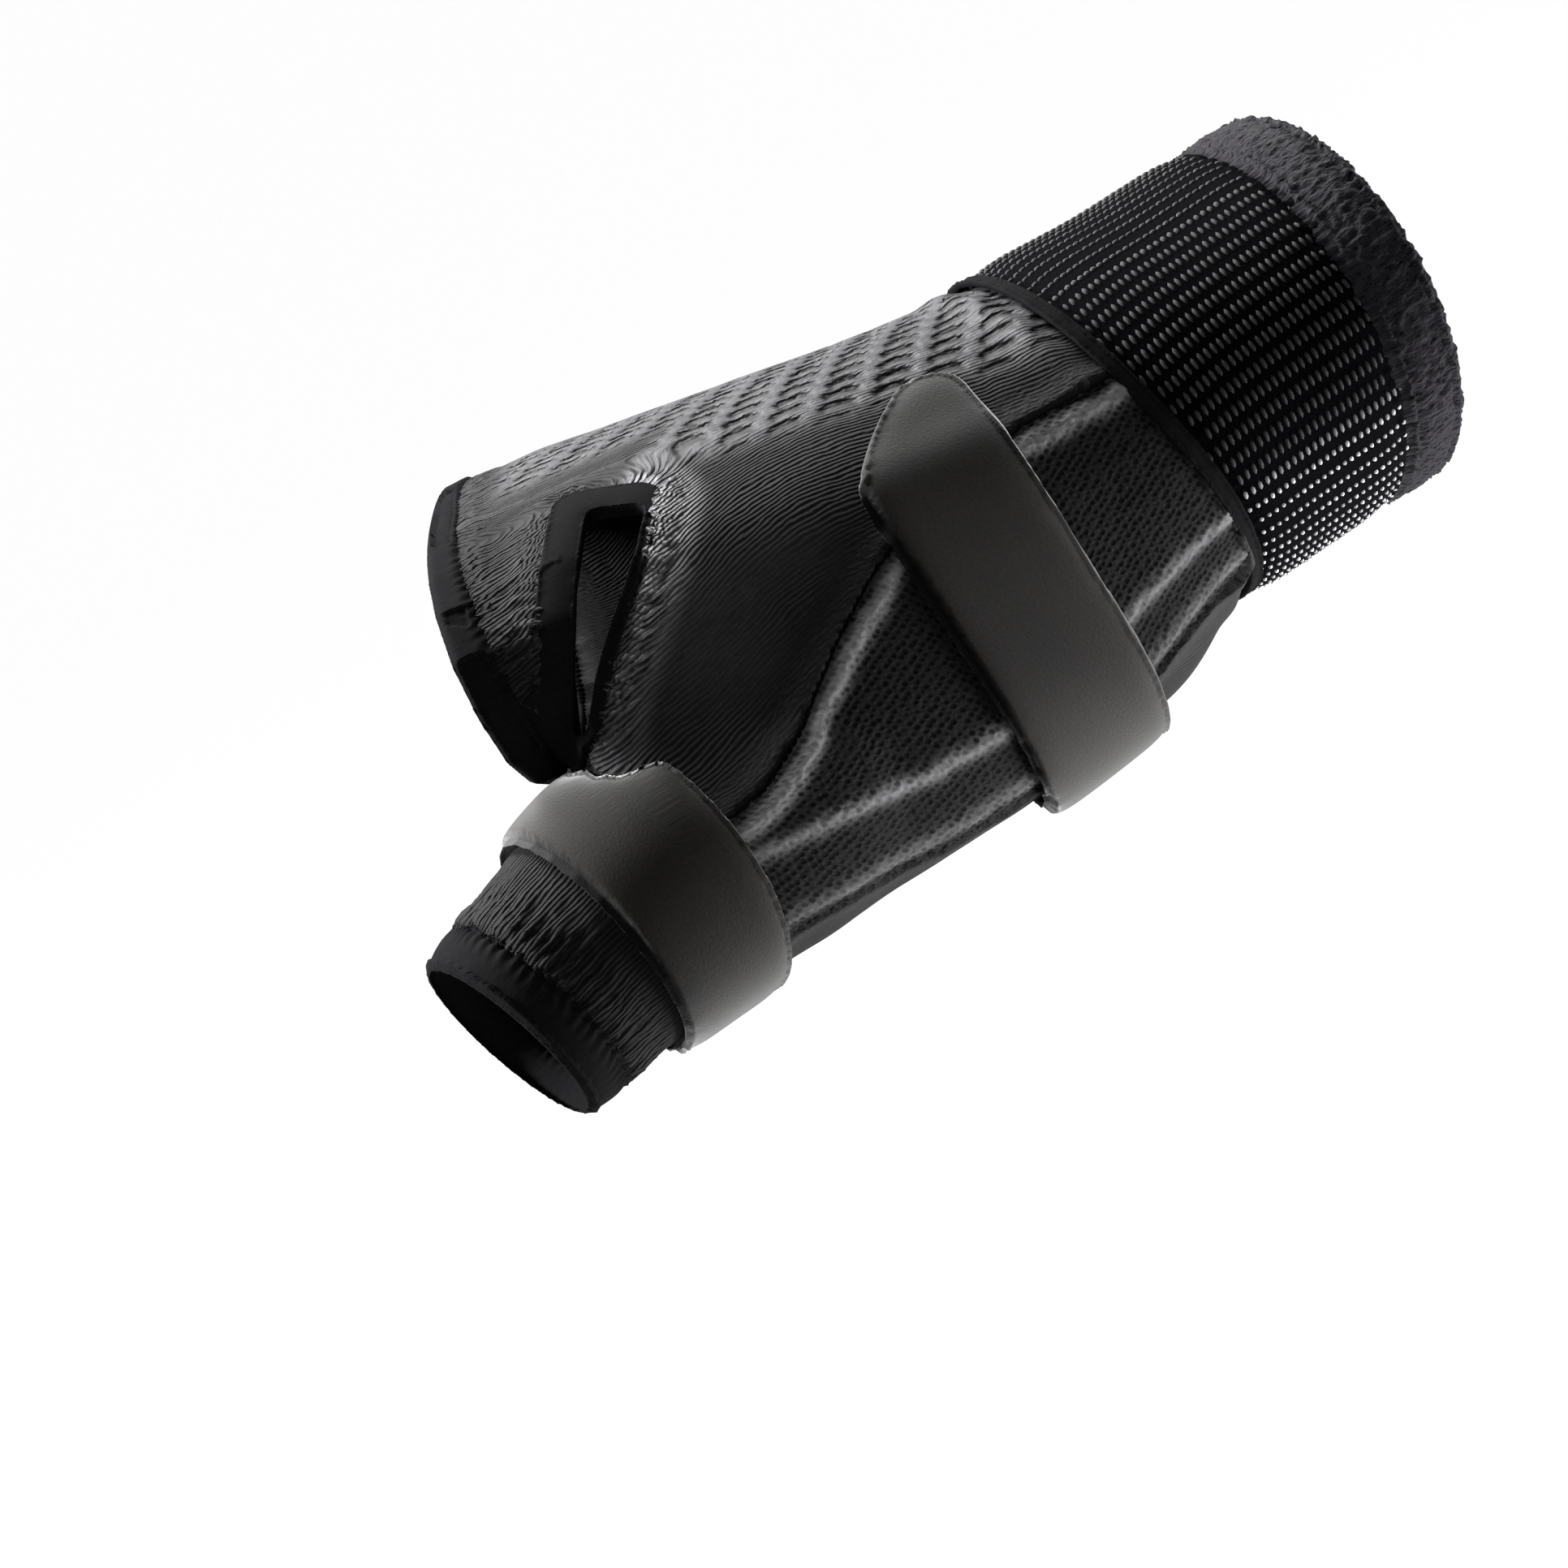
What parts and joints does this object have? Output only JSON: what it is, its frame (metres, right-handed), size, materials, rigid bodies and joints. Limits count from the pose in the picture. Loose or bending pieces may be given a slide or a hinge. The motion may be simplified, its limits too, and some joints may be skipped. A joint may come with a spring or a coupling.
{
  "type": "thumb spica splint",
  "caption": "Knitted wrist and thumb support for the right hand, with elastic forearm band, stay pocket, hand band, thumb stall and fastening straps.",
  "frame": {"origin": "middle of the wrist, on the forearm's axis, where the splint sits on the wearer", "axes": "+X runs up the forearm, -Y is the thumb's side, +Z the back of the hand; the splint is for the right hand"},
  "size_m": [0.1492, 0.0972, 0.0659],
  "materials": {
    "knit": "compression knit in black polyamide yarn, matt with a soft sheen on its ribs",
    "terry": "soft looped terry knit in near-black, matt",
    "tape": "smooth black elastic binding, slightly satin",
    "elastic": "woven black elastic with rows of pale stitches along the arm",
    "strap": "brushed charcoal microfibre strap, matt with a fine grain"
  },
  "bodies": {
    "root": {"knit_sleeve": "knit", "stay_pocket": "knit", "forearm_hem": "terry", "hand_hem": "tape", "thumb_hem": "tape", "slit_binding": "tape", "band_tape": "tape", "elastic_band": "elastic", "wrist_strap": "strap", "thumb_strap": "strap"}
  },
  "joints": []
}
